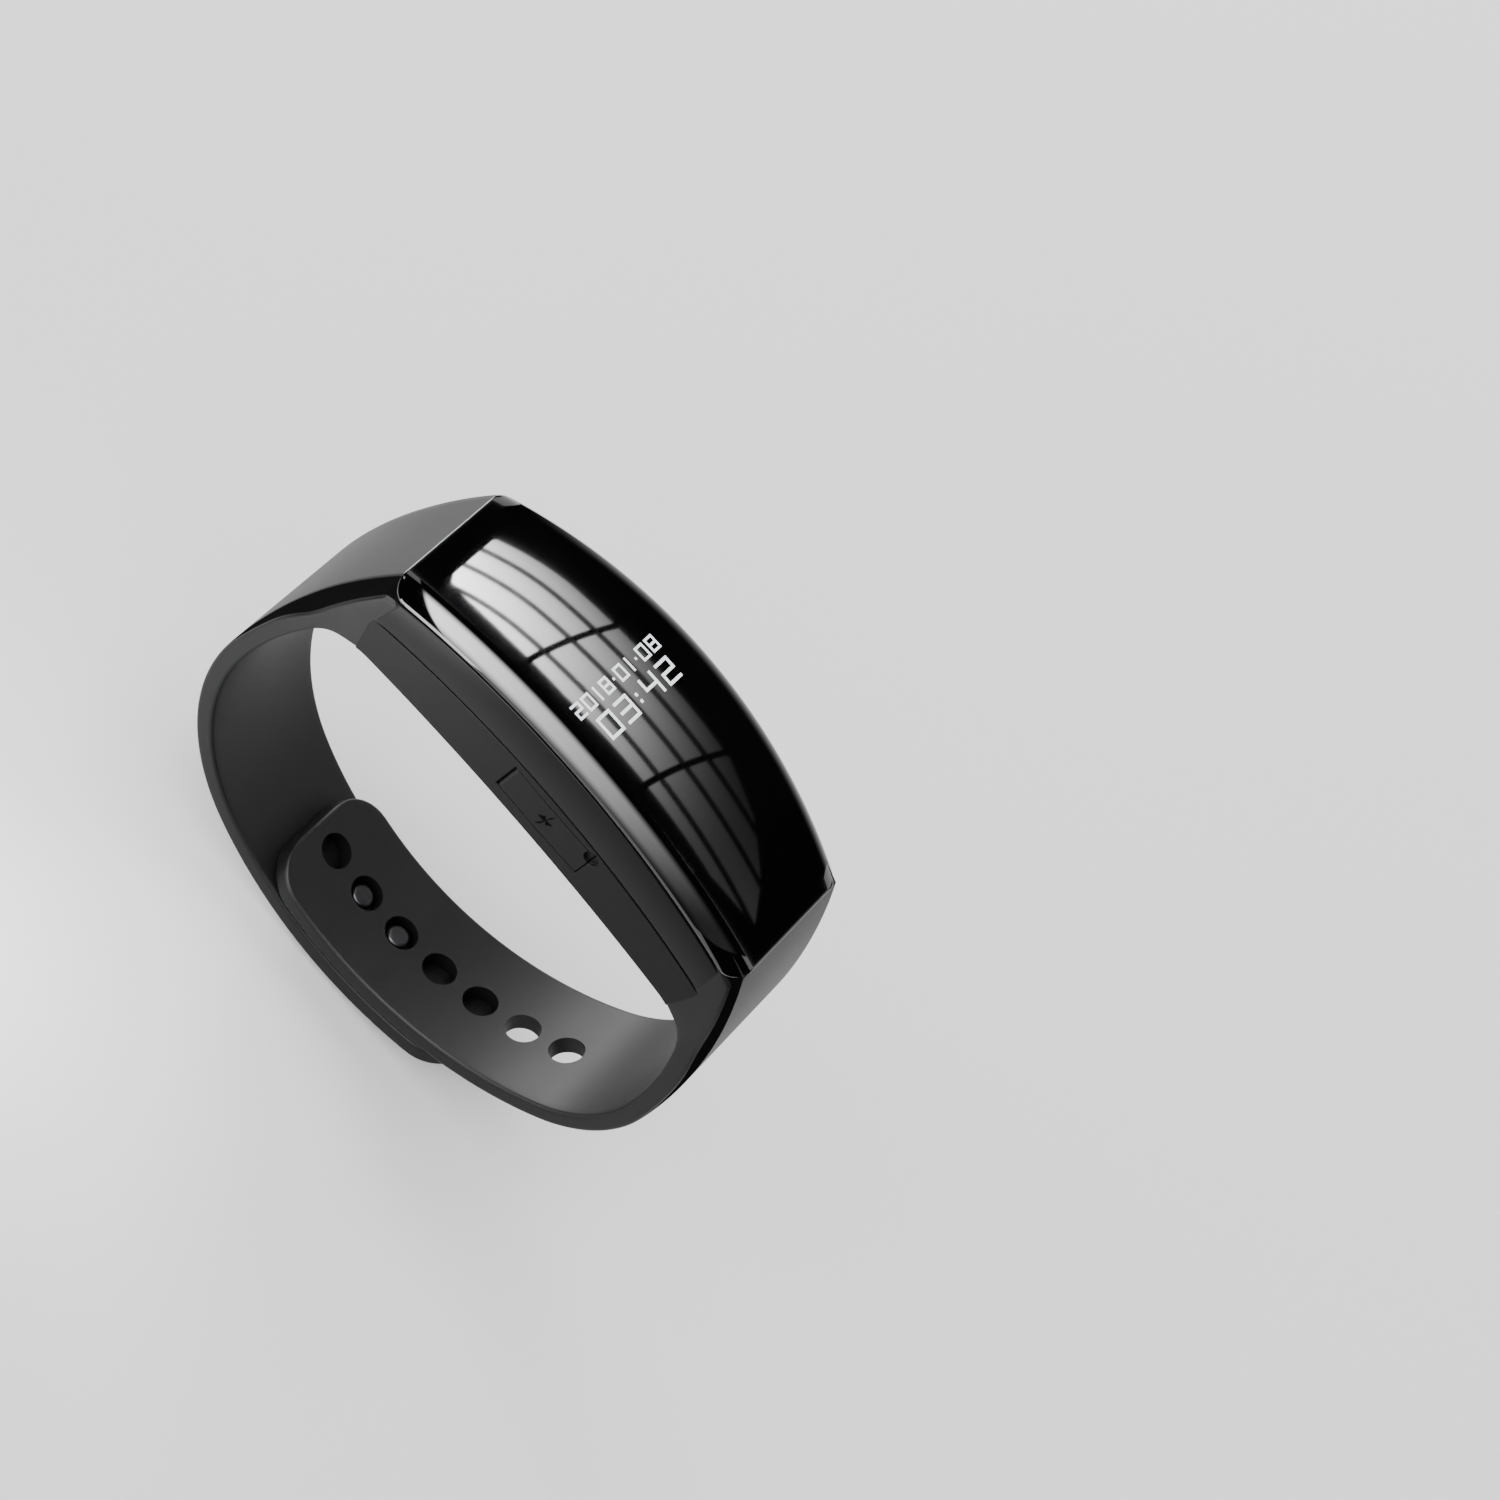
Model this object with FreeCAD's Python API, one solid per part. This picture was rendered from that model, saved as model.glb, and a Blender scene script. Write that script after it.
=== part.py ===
"""Fitness tracker band: a long arched module on a semi-rigid moulded strap.

Frame: +Z up with the module on top, +X along the module, Y along the wrist.
The strap closes under the wrist, where its outer layer carries a flat clasp
plate: the origin is the middle of that plate's outer face.
The band's loop is drawn in the XZ plane as tangent arcs. A place on the loop
is given by its heading: 0 on top of the wrist, 90 at the side, 180 underneath.
"""
import FreeCAD, Part
import math
import os

from FreeCAD import Vector

os.makedirs("parts", exist_ok=True)

# ---------------------------------------------------------------- the loop
wrist_width = 60.4             # inside of the closed band along X
wrist_height = 42.0            # inside of the closed band along Z
top_radius = 96.0              # skin side of the module, a slow arch
corner_radius = 8.6            # where the band turns down beside the wrist
corner_heading = 70.0
side_radius = 35.0
lower_share = 0.4              # radius at the underside's corners, as a share of the height
strap_thickness = 2.1
lap_gap = 0.3                  # between the two strap layers at the clasp

# --------------------------------------------------------------- the module
module_half_length = 26.0      # at the glass
end_slant = 2.5                # how much shorter each end is at the skin
module_width = 22.8            # at mid length
module_end_width = 19.3
module_height = 13.2           # skin to glass, at mid length
glass_radius = 62.0
lens_thickness = 1.0
lens_skirt = 1.8               # height of the lens's turned-down edge
lens_rounding = 1.5
gasket_thickness = 0.3
gasket_inset = 0.25
parting_height = 6.2           # skin to the parting line, at mid length
parting_radius = 69.0
housing_wall = 1.4
housing_end_wall = 1.6
housing_floor = 1.5
bezel_wall = 1.3
lens_wall = 1.2
seal_inset = 0.5
seal_size = 0.4

# ---------------------------------------------------------- the strap's form
strap_root_width = 19.0
strap_clasp_width = 16.0
strap_step = 0.5               # strap lies this far below the glass
strap_tip_rounding = 5.0
strap_bury = 6.0               # how far the strap is drawn into the module before trimming
outer_layer_reach = 16.5       # how far each layer runs past the middle
tail_reach = 12.0
lug_length = 2.9
lug_width = 9.0
lug_height = 2.6
lug_centre_height = 0.3
lug_clearance = 0.1
strap_pin_radius = 0.6
strap_pin_length = 14.0

# ----------------------------------------------------------------- the clasp
peel_hinge_x = 17.5
tail_hinge_x = 18.0
knuckle_gap = 0.3
clasp_plate_floor = 0.6        # plate thickness under the strap's lowest line
clasp_plate_length = 16.0
clasp_plate_width = 12.4
clasp_plate_rounding = 2.5
peg_radius = 1.4
peg_height = 1.8               # above the outer layer
peg_pitch = 6.0
peg_hole_clearance = 0.6
tail_hole_places = (-1.5, -0.5, 0.5, 1.5, 2.5)     # in pitches from the middle
side_hole_places = (3.5, 4.5)

# ------------------------------------------------------ the port and its flap
flap_from = -4.4
flap_to = 7.2
flap_low = 1.5
flap_high = 5.2
flap_thickness = 1.0
flap_gap = 0.15
notch_radius = 0.9
notch_depth = 0.5
plug_width = 6.2
plug_height = 1.3
plug_depth = 1.1
socket_width = 7.5
socket_height = 2.5
socket_depth = 5.0
socket_wall = 0.3
socket_recess = 0.15
tongue_width = 5.2
tongue_thickness = 0.5
tongue_length = 3.6
contact_width = 0.3
contact_thickness = 0.1
contact_pitch = 0.65
contact_count = 5
port_pad_thickness = 1.0
port_pad_margin = 1.2

# ------------------------------------------------------------- inner pieces
touch_thickness = 0.3
touch_inset = 1.6
display_thickness = 1.0
display_inset = 2.3
board_half_length = 17.5
board_width = 15.2
board_height = 3.0             # underside above the skin at mid length
board_thickness = 0.8
board_notch_gap = 0.3
board_rib_x = 14.0
board_rib_width = 1.0
board_rib_length = 12.0
frame_height = 5.3
frame_thickness = 0.6
frame_half_length = 21.5
frame_gap = 0.25
screw_x = 20.0
screw_y = 7.0
post_radius = 1.5
screw_head_radius = 1.1
screw_head_height = 0.7
screw_head_depth = 0.8
screw_radius = 0.55
screw_length = 4.0
battery_from = -15.5
battery_to = 15.0
battery_width = 14.8
battery_thickness = 2.5        # at most, where the display leaves the room
battery_rounding = 0.3         # as a share of the thickness
stack_gap = 0.2                # least room between the frame's plate and the display
flex_x = -19.1
flex_thickness = 0.2
flex_width = 6.0
flex_foot = 3.6
motor_x = 20.6
motor_height = 2.9
motor_radius = 1.7
motor_from = -4.6
motor_length = 6.0
motor_bore_depth = 1.5
motor_bore_gap = 0.1
shaft_radius = 0.35
shaft_length = 3.0
weight_radius = 1.5
weight_length = 2.4
weight_gap = 0.4
weight_cover = 0.3             # metal left over the shaft
window_radius = 4.0
window_thickness = 1.2
sensor_board_length = 9.0
sensor_board_width = 7.0
sensor_board_thickness = 0.6
sensor_board_height = 1.95
led_height = 0.5

half_wrist = wrist_width / 2
half_width = module_width / 2
half_end_width = module_end_width / 2
skin_floor = clasp_plate_floor + 2 * strap_thickness + lap_gap
skin_z = skin_floor + wrist_height
layer_step = strap_thickness + lap_gap
reach = 2 * (wrist_width + wrist_height)          # longer than any piece


# ------------------------------------------------------------ loop geometry
def arc_point(arc, heading, offset, side=1):
    """Point at a heading on an arc of the loop, moved outwards by an offset."""
    x, z, radius = arc[:3]
    angle = math.radians(heading)
    out = radius + offset
    return Vector(side * (x + out * math.sin(angle)), 0, z + out * math.cos(angle))


def upper_arcs():
    """Tangent arcs from the top to the side, as (x, z, radius, from, to)."""
    turn = math.radians(corner_heading)
    reach_left = half_wrist - corner_radius * math.sin(turn) - side_radius * (1 - math.sin(turn))
    top_heading = math.degrees(math.asin(reach_left / (top_radius - corner_radius)))
    arcs = [(0.0, skin_z - top_radius, top_radius, 0.0, top_heading)]
    for radius, heading in ((corner_radius, corner_heading), (side_radius, 90.0)):
        x, z, before, _, start = arcs[-1]
        angle = math.radians(start)
        shift = before - radius
        arcs.append((x + shift * math.sin(angle), z + shift * math.cos(angle), radius, start, heading))
    return arcs


side_z = upper_arcs()[-1][1]
lower_radius = lower_share * wrist_height
side_rise = side_z - skin_floor
underside_radius = (((half_wrist - lower_radius) ** 2 + side_rise ** 2 - lower_radius ** 2)
                    / (2 * (side_rise - lower_radius)))
underside_centre_z = skin_floor + underside_radius


def loop_arcs(step_out):
    """Tangent arcs of the whole side of the loop, from the top to the underside.

    step_out moves only the underside outwards, for the layer that laps over.
    """
    arcs = upper_arcs()
    under = underside_radius + step_out
    across = under - half_wrist
    down = underside_centre_z - side_z
    shift = (down * down + across * across) / (2 * across)
    lower = under - shift
    join = math.degrees(math.atan2(shift - across, -down))
    arcs.append((half_wrist - lower, side_z, lower, 90.0, join))
    arcs.append((0.0, underside_centre_z, under, join, 180.0))
    return arcs


def loop_edges(arcs, start, stop, offset, side=1):
    """Edges of the loop between two headings, in travelling order."""
    edges = []
    for index, arc in enumerate(arcs):
        last = index == len(arcs) - 1
        begin = max(start, arc[3])
        end = stop if last else min(stop, arc[4])
        if end - begin > 1e-6:
            points = [arc_point(arc, h, offset, side) for h in (begin, (begin + end) / 2, end)]
            edges.append(Part.Arc(*points).toShape())
    return edges


def lower_heading(arcs, offset, x):
    """Heading below the wrist at which an offset of the loop passes x."""
    for arc in arcs[3:]:
        sine = (x - arc[0]) / (arc[2] + offset)
        if abs(sine) < 1:
            heading = 180.0 - math.degrees(math.asin(sine))
            if arc is arcs[-1] or arc[3] <= heading <= arc[4]:
                return heading
    return arcs[-1][3]


def arc_for(arcs, heading):
    """The arc of the loop that holds a heading."""
    for arc in arcs:
        if heading <= arc[4]:
            return arc
    return arcs[-1]


def prism_y(edges, half=reach):
    """Solid with an XZ outline, symmetric about the XZ plane."""
    face = Part.Face(Part.Wire(Part.__sortEdges__(edges)))
    face.translate(Vector(0, -half, 0))
    return face.extrude(Vector(0, 2 * half, 0))


def polygon_y(points, half=reach):
    """Solid with a straight-sided XZ outline."""
    corners = [Vector(x, 0, z) for x, z in points]
    return prism_y(Part.makePolygon(corners + corners[:1]).Edges, half)


def box(x_from, x_to, y_from, y_to, z_from, z_to):
    """Plain block between six planes, with z given above the skin."""
    corner = Vector(x_from, y_from, skin_z + z_from)
    return Part.makeBox(x_to - x_from, y_to - y_from, z_to - z_from, corner)


def post(x, y, z_from, z_to, radius):
    """Upright cylinder, with z given above the skin."""
    return Part.makeCylinder(radius, z_to - z_from, Vector(x, y, skin_z + z_from))


# ---------------------------------------------------------- module geometry
skin_arch = (skin_z - top_radius, top_radius)
glass_arch = (skin_z + module_height - glass_radius, glass_radius)
parting_arch = (skin_z + parting_height - parting_radius, parting_radius)
plan_sagitta = half_width - half_end_width
plan_radius = (module_half_length ** 2 + plan_sagitta ** 2) / (2 * plan_sagitta)
arch_span = module_half_length + 4


def arch_height(arch, x):
    """Height of an arch above the skin's middle line."""
    return arch[0] + math.sqrt(arch[1] ** 2 - x * x) - skin_z


def inside(arch, depth):
    """The arch that runs a depth below another one."""
    return (arch[0], arch[1] - depth)


def end_x(height, inset=0.0):
    """Place of the module's slanted end at a height above the skin."""
    top = arch_height(glass_arch, module_half_length)
    slope = end_slant / (top - arch_height(skin_arch, module_half_length))
    return module_half_length - (top - height) * slope - inset


def between_ends(inset):
    """Everything between the module's two slanted ends."""
    low, high = -20.0, 30.0
    return polygon_y([(-end_x(low, inset), skin_z + low), (end_x(low, inset), skin_z + low),
                      (end_x(high, inset), skin_z + high), (-end_x(high, inset), skin_z + high)])


def barrel(inset):
    """Everything within the module's bowed sides."""
    edges = []
    ends = []
    for sign in (1, -1):
        centre = sign * (half_width - plan_radius)
        radius = plan_radius - inset
        row = [Vector(x, centre + sign * math.sqrt(radius ** 2 - x * x), 0)
               for x in (-sign * arch_span, 0, sign * arch_span)]
        edges.append(Part.Arc(*row).toShape())
        ends.append((row[0], row[2]))
    edges.insert(1, Part.makeLine(ends[0][1], ends[1][0]))
    edges.append(Part.makeLine(ends[1][1], ends[0][0]))
    return Part.Face(Part.Wire(edges)).extrude(Vector(0, 0, reach))


def layer(low, high, end_inset=0.0, side_inset=0.0):
    """Module-shaped layer between two arches, set in from its ends and sides."""
    edges = []
    for arch, sign in ((low, 1), (high, -1)):
        row = [Vector(x, 0, skin_z + arch_height(arch, x))
               for x in (-sign * arch_span, 0, sign * arch_span)]
        edges.append(Part.Arc(*row).toShape())
    edges.insert(1, Part.makeLine(edges[0].Vertexes[1].Point, edges[1].Vertexes[0].Point))
    edges.append(Part.makeLine(edges[2].Vertexes[1].Point, edges[0].Vertexes[0].Point))
    return prism_y(edges).common(between_ends(end_inset)).common(barrel(side_inset))


deep_arch = inside(skin_arch, 8.0)
high_arch = (glass_arch[0], glass_radius + 8.0)
straight_loop = loop_arcs(0.0)
lapped_loop = loop_arcs(layer_step)
wrist_space = prism_y(loop_edges(straight_loop, 0, 180, 0)
                      + loop_edges(straight_loop, 0, 180, 0, -1))

parts = {}


def one_solid(shape):
    """The single solid of a boolean result, with seams between like faces gone."""
    return shape.removeSplitter().Solids[0]


# ------------------------------------------------------------ charging port
flank_y = -half_width
flap_middle = (flap_from + flap_to) / 2
port_z = (flap_low + flap_high) / 2
flap_back_y = flank_y + flap_thickness
recess_y = flap_back_y + flap_gap
socket_y = recess_y + socket_recess
notch = Part.makeCylinder(notch_radius, notch_depth + 1.0,
                          Vector(flap_to, flank_y - 1.0, skin_z + flap_high - notch_radius / 2),
                          Vector(0, 1, 0))


def port_block(width, height, y_from, y_to):
    """Block centred on the charging port."""
    return box(flap_middle - width / 2, flap_middle + width / 2, y_from, y_to,
               port_z - height / 2, port_z + height / 2)


def port_pad(gap):
    """Thicker stretch of the housing's wall that carries the socket."""
    width = flap_to - flap_from + 2 * port_pad_margin + 2 * gap
    height = flap_high - flap_low + 2 * flap_gap + 2 * gap
    inner_y = flank_y + housing_wall + port_pad_thickness
    return port_block(width, height, flap_back_y, inner_y + gap)


def make_charging_socket():
    """Drawn steel shell, open towards the flap."""
    shell = port_block(socket_width, socket_height, socket_y, socket_y + socket_depth)
    shell = shell.makeFillet(socket_height / 4, [e for e in shell.Edges if abs(e.tangentAt(0).y) > 0.9])
    bore = port_block(socket_width - 2 * socket_wall, socket_height - 2 * socket_wall,
                      socket_y - 1, socket_y + socket_depth - socket_wall)
    return shell.cut(bore)


tongue_end_y = socket_y + socket_depth - socket_wall
tongue_front_y = tongue_end_y - tongue_length


def make_socket_contacts():
    """Five contact strips let into the top of the tongue."""
    strips = []
    for index in range(contact_count):
        x = flap_middle + (index - (contact_count - 1) / 2) * contact_pitch
        strips.append(box(x - contact_width / 2, x + contact_width / 2,
                          tongue_front_y + contact_width, tongue_end_y,
                          port_z + tongue_thickness / 2, port_z + tongue_thickness / 2 + contact_thickness))
    return Part.makeCompound(strips)


def flap_axis():
    """Place of the flap's hinge line, and the radius of the flap's rolled end."""
    surface = half_width - plan_radius + math.sqrt(plan_radius ** 2 - flap_from ** 2)
    radius = (surface + flap_back_y) / 2
    return flap_from + radius, -surface + radius, radius


def make_port_flap():
    """Soft flap flush with the flank, with a plug that enters the socket."""
    hinge_x, hinge_y, radius = flap_axis()
    panel = box(hinge_x, flap_to, flank_y - 2, flap_back_y, flap_low, flap_high).common(barrel(0))
    rolled_end = post(hinge_x, hinge_y, flap_low, flap_high, radius)
    plug = port_block(plug_width, plug_height, flap_back_y, flap_back_y + plug_depth)
    return one_solid(panel.fuse(rolled_end).fuse(plug).cut(notch))


parts["charging_socket"] = make_charging_socket()
parts["socket_tongue"] = port_block(tongue_width, tongue_thickness, tongue_front_y, tongue_end_y)
parts["socket_contacts"] = make_socket_contacts()
parts["port_flap"] = make_port_flap()


# ------------------------------------------------------------- lower housing
screw_places = [(x, y) for x in (-screw_x, screw_x) for y in (-screw_y, screw_y)]
cavity = layer(inside(skin_arch, -housing_floor), high_arch, housing_end_wall, housing_wall)
screw_seat = arch_height(skin_arch, screw_x) + screw_head_depth
lug_low = lug_centre_height - lug_height / 2
lug_high = lug_centre_height + lug_height / 2
lug_tip_x = end_x(lug_high) + lug_length
pin_x = lug_tip_x - lug_height / 2


def lug_block(side, clearance):
    """Lug on the module's end that the strap's root is pinned over."""
    root = end_x(lug_high) - housing_end_wall / 2
    tip = lug_tip_x + clearance
    half = lug_width / 2 + clearance
    return box(min(side * root, side * tip), max(side * root, side * tip), -half, half,
               lug_low - clearance, lug_high + clearance)


def strap_pin(side):
    """Steel pin through a lug and the strap's root."""
    return Part.makeCylinder(strap_pin_radius, strap_pin_length,
                             Vector(side * pin_x, -strap_pin_length / 2, skin_z + lug_centre_height),
                             Vector(0, 1, 0))


def seal_ring(inset, width, low, high):
    """Thin ring that follows the module's outline between two arches."""
    return layer(low, high, inset, inset).cut(layer(deep_arch, high_arch, inset + width, inset + width))


def make_lower_housing():
    """Tub with the skin side as its floor, and lugs for the strap."""
    tub = layer(deep_arch, parting_arch).cut(wrist_space).cut(cavity)
    tub = tub.fuse(port_pad(0.0).common(layer(skin_arch, parting_arch)))
    for x in (-board_rib_x, board_rib_x):
        rib = box(x - board_rib_width / 2, x + board_rib_width / 2,
                  -board_rib_length / 2, board_rib_length / 2, -2, board_height)
        tub = tub.fuse(rib.common(cavity))
    cradle = box(motor_x - motor_radius, motor_x + motor_radius, motor_from + 1,
                 motor_from + motor_length - 1, -2, motor_height - motor_radius / 2)
    tub = tub.fuse(cradle.common(cavity))
    tub = tub.cut(motor_cylinder(motor_from, motor_length, motor_radius))
    for side in (-1, 1):
        tub = tub.fuse(lug_block(side, 0.0)).cut(strap_pin(side))
    recess = box(flap_from - flap_gap, flap_to + flap_gap, flank_y - 2, recess_y,
                 flap_low - flap_gap, flap_high + flap_gap)
    mouth = port_block(socket_width, socket_height, flank_y, flank_y + 5)
    tub = tub.cut(recess).cut(mouth).cut(notch)
    tub = tub.cut(post(0, 0, -2, housing_floor + 1, window_radius))
    for x, y in screw_places:
        tub = tub.cut(post(x, y, -4, 4, screw_radius))
        tub = tub.cut(post(x, y, -4, screw_seat, screw_head_radius))
    tub = tub.cut(seal_ring(seal_inset, seal_size, inside(parting_arch, seal_size), high_arch))
    return one_solid(tub)


def motor_cylinder(y_from, length, radius):
    """Cylinder on the motor's axis."""
    return Part.makeCylinder(radius, length, Vector(motor_x, y_from, skin_z + motor_height),
                             Vector(0, 1, 0))


def make_case_screws():
    """Four pan-head screws driven in from the skin side."""
    screws = []
    for x, y in screw_places:
        head = post(x, y, screw_seat - screw_head_height, screw_seat, screw_head_radius)
        shank = post(x, y, screw_seat, screw_seat + screw_length, screw_radius)
        slot = box(x - screw_head_radius, x + screw_head_radius, y - 0.15, y + 0.15,
                   screw_seat - screw_head_height - 1, screw_seat - screw_head_height / 2)
        screws.append(one_solid(head.fuse(shank).cut(slot)))
    return Part.makeCompound(screws)


parts["lower_housing"] = make_lower_housing()
parts["case_screws"] = make_case_screws()
parts["strap_pins"] = Part.makeCompound([strap_pin(-1), strap_pin(1)])
parts["case_seal"] = one_solid(seal_ring(seal_inset, seal_size, inside(parting_arch, seal_size),
                                         parting_arch))

# ------------------------------------------------- bezel, lens and display
bezel_top = inside(glass_arch, lens_skirt + gasket_thickness)
lens_seat = inside(glass_arch, lens_skirt)
lens_under = inside(glass_arch, lens_thickness)
touch_under = inside(lens_under, touch_thickness)
display_under = inside(touch_under, display_thickness)


def make_cover_lens():
    """Curved glass whose long edges turn down in a round shoulder."""
    lens = layer(lens_seat, glass_arch)
    middle_top = skin_z + module_height
    shoulders = [edge for edge in lens.Edges
                 if edge.Length > module_half_length and edge.BoundBox.ZMax > middle_top - lens_skirt / 2]
    lens = lens.makeFillet(lens_rounding, shoulders)
    return one_solid(lens.cut(layer(deep_arch, lens_under, lens_wall, lens_wall)))


def above_frame(piece, under):
    """The stretch of a display layer whose underside clears the inner frame."""
    lowest = frame_height + frame_thickness + stack_gap
    half_length = math.sqrt(under[1] ** 2 - (skin_z + lowest - under[0]) ** 2)
    return piece.common(box(-half_length, half_length, -half_width, half_width, 0, module_height))


def make_upper_bezel():
    """Frame round the module between the parting line and the glass, clear of the lugs."""
    bezel = layer(parting_arch, bezel_top).cut(layer(deep_arch, high_arch, bezel_wall, bezel_wall))
    for side in (-1, 1):
        bezel = bezel.cut(lug_block(side, 0.0))
    return one_solid(bezel)


parts["upper_bezel"] = make_upper_bezel()
parts["lens_gasket"] = one_solid(seal_ring(gasket_inset, bezel_wall - gasket_inset, bezel_top, lens_seat))
parts["cover_lens"] = make_cover_lens()
parts["touch_sensor"] = above_frame(layer(touch_under, lens_under, touch_inset, touch_inset), touch_under)
parts["display_panel"] = above_frame(layer(display_under, touch_under, display_inset, display_inset),
                                     display_under)


# ---------------------------------------------------- inner frame and battery
board_top = board_height + board_thickness
frame_top = frame_height + frame_thickness


def make_inner_frame():
    """Plate on four posts that the case screws pull down onto the floor."""
    plate = box(-frame_half_length, frame_half_length, -half_width, half_width, frame_height, frame_top)
    plate = plate.common(barrel(max(housing_wall, bezel_wall) + frame_gap)).cut(port_pad(frame_gap))
    for x, y in screw_places:
        plate = plate.fuse(post(x, y, -4, frame_top, post_radius).common(cavity))
    for x, y in screw_places:
        plate = plate.cut(post(x, y, -4, screw_seat + screw_length, screw_radius))
    slot = box(flex_x - 3 * flex_thickness, flex_x + 3 * flex_thickness,
               -flex_width / 2 - frame_gap, flex_width / 2 + frame_gap, frame_height - 1, frame_top + 1)
    return one_solid(plate.cut(slot))


def make_battery():
    """Flat pouch cell on the inner frame."""
    room = arch_height(display_under, max(-battery_from, battery_to)) - frame_top - stack_gap
    thickness = min(battery_thickness, room)
    cell = box(battery_from, battery_to, -battery_width / 2, battery_width / 2,
               frame_top, frame_top + thickness)
    return cell.makeFillet(battery_rounding * thickness, cell.Edges)


def make_display_flex():
    """Ribbon from the board up to the back of the display."""
    foot = box(flex_x, flex_x + flex_foot, -flex_width / 2, flex_width / 2,
               board_top, board_top + flex_thickness)
    riser = box(flex_x, flex_x + flex_thickness, -flex_width / 2, flex_width / 2,
                board_top, module_height)
    return one_solid(foot.fuse(riser).cut(layer(display_under, high_arch)))


parts["inner_frame"] = make_inner_frame()
parts["battery"] = make_battery()
parts["display_flex"] = make_display_flex()


# ------------------------------------------------------------------ the board
def chip(x, y, length, width, height):
    """Package soldered on top of the main board."""
    return box(x - length / 2, x + length / 2, y - width / 2, y + width / 2, board_top, board_top + height)


def make_main_board():
    """Flat board on the housing's ribs, notched round the charging socket."""
    board = box(-board_half_length, board_half_length, -board_width / 2, board_width / 2,
                board_height, board_top)
    notch_block = port_block(socket_width + 2 * board_notch_gap, socket_height,
                             -half_width, socket_y + socket_depth)
    return one_solid(board.cut(notch_block))


parts["main_board"] = make_main_board()
parts["processor_chip"] = chip(-9.5, 1.5, 6.0, 6.0, 0.9)
parts["memory_chip"] = chip(-1.5, 3.5, 4.5, 5.0, 0.8)
parts["radio_module"] = chip(6.5, 2.5, 4.5, 4.5, 1.1)
parts["motion_sensor"] = chip(7.5, -3.5, 3.0, 2.5, 0.9)
parts["antenna"] = chip(13.0, 4.5, 2.0, 5.0, 0.5)


# ------------------------------------------------------------- optical sensor
def make_sensor_leds():
    """Two emitters and the receiver between them, facing the window."""
    dies = []
    for x, length, width in ((-2.6, 1.2, 1.2), (0.0, 2.0, 1.8), (2.6, 1.2, 1.2)):
        dies.append(box(x - length / 2, x + length / 2, -width / 2, width / 2,
                        sensor_board_height - led_height, sensor_board_height))
    return Part.makeCompound(dies)


parts["sensor_window"] = post(0, 0, -2, window_thickness, window_radius).cut(wrist_space)
parts["sensor_board"] = box(-sensor_board_length / 2, sensor_board_length / 2,
                            -sensor_board_width / 2, sensor_board_width / 2,
                            sensor_board_height, sensor_board_height + sensor_board_thickness)
parts["sensor_leds"] = make_sensor_leds()


# ------------------------------------------------------------ vibration motor
motor_face_y = motor_from + motor_length


def make_motor_weight():
    """Half-round weight that makes the motor shake."""
    weight = motor_cylinder(motor_face_y + weight_gap, weight_length, weight_radius)
    upper = box(motor_x - 3, motor_x + 3, motor_face_y, motor_face_y + 5,
                motor_height + shaft_radius + weight_cover, motor_height + 3)
    return weight.cut(upper).cut(motor_cylinder(motor_face_y, shaft_length, shaft_radius))


parts["vibration_motor"] = motor_cylinder(motor_from, motor_length, motor_radius).cut(
    motor_cylinder(motor_face_y - motor_bore_depth, motor_bore_depth, shaft_radius + motor_bore_gap))
parts["motor_shaft"] = motor_cylinder(motor_face_y - motor_bore_depth + motor_bore_gap,
                                      shaft_length + motor_bore_depth - motor_bore_gap, shaft_radius)
parts["motor_weight"] = make_motor_weight()


# ------------------------------------------------------------------ the strap
peel_heading = lower_heading(lapped_loop, strap_thickness / 2, peel_hinge_x)
tail_heading = lower_heading(straight_loop, strap_thickness / 2, tail_hinge_x)
outer_tip_heading = 180 + math.degrees(math.asin(outer_layer_reach / (underside_radius + layer_step)))
tail_tip_heading = 180 + math.degrees(math.asin(tail_reach / underside_radius))
outside_x = half_wrist + strap_thickness


def strap_outline():
    """Everything within the strap's tapering width."""
    start_z = skin_z - 2
    sagitta = (strap_root_width - strap_clasp_width) / 2
    radius = (start_z ** 2 + sagitta ** 2) / (2 * sagitta)
    edges = []
    for sign in (1, -1):
        half = strap_root_width / 2
        low = [Vector(0, sign * (half - radius + math.sqrt(radius ** 2 - drop ** 2)), start_z - drop)
               for drop in (0, start_z / 2, start_z)]
        top = Vector(0, sign * half, skin_z + 30)
        edges.append(([top, low[0]], low))
    right, left = edges
    outline = [Part.makeLine(*right[0]), Part.Arc(*right[1]).toShape(),
               Part.makeLine(right[1][2], left[1][2]), Part.Arc(*left[1][::-1]).toShape(),
               Part.makeLine(left[1][0], left[0][0]), Part.makeLine(left[0][0], right[0][0])]
    face = Part.Face(Part.Wire(outline))
    face.translate(Vector(-reach, 0, 0))
    return face.extrude(Vector(2 * reach, 0, 0))


outline = strap_outline()


def knuckle(arcs, heading, side, radius):
    """Cylinder across the strap on a bending line."""
    centre = arc_point(arc_for(arcs, heading), heading, strap_thickness / 2, side)
    return Part.makeCylinder(radius, 2 * reach, Vector(centre.x, -reach, centre.z), Vector(0, 1, 0))


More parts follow.
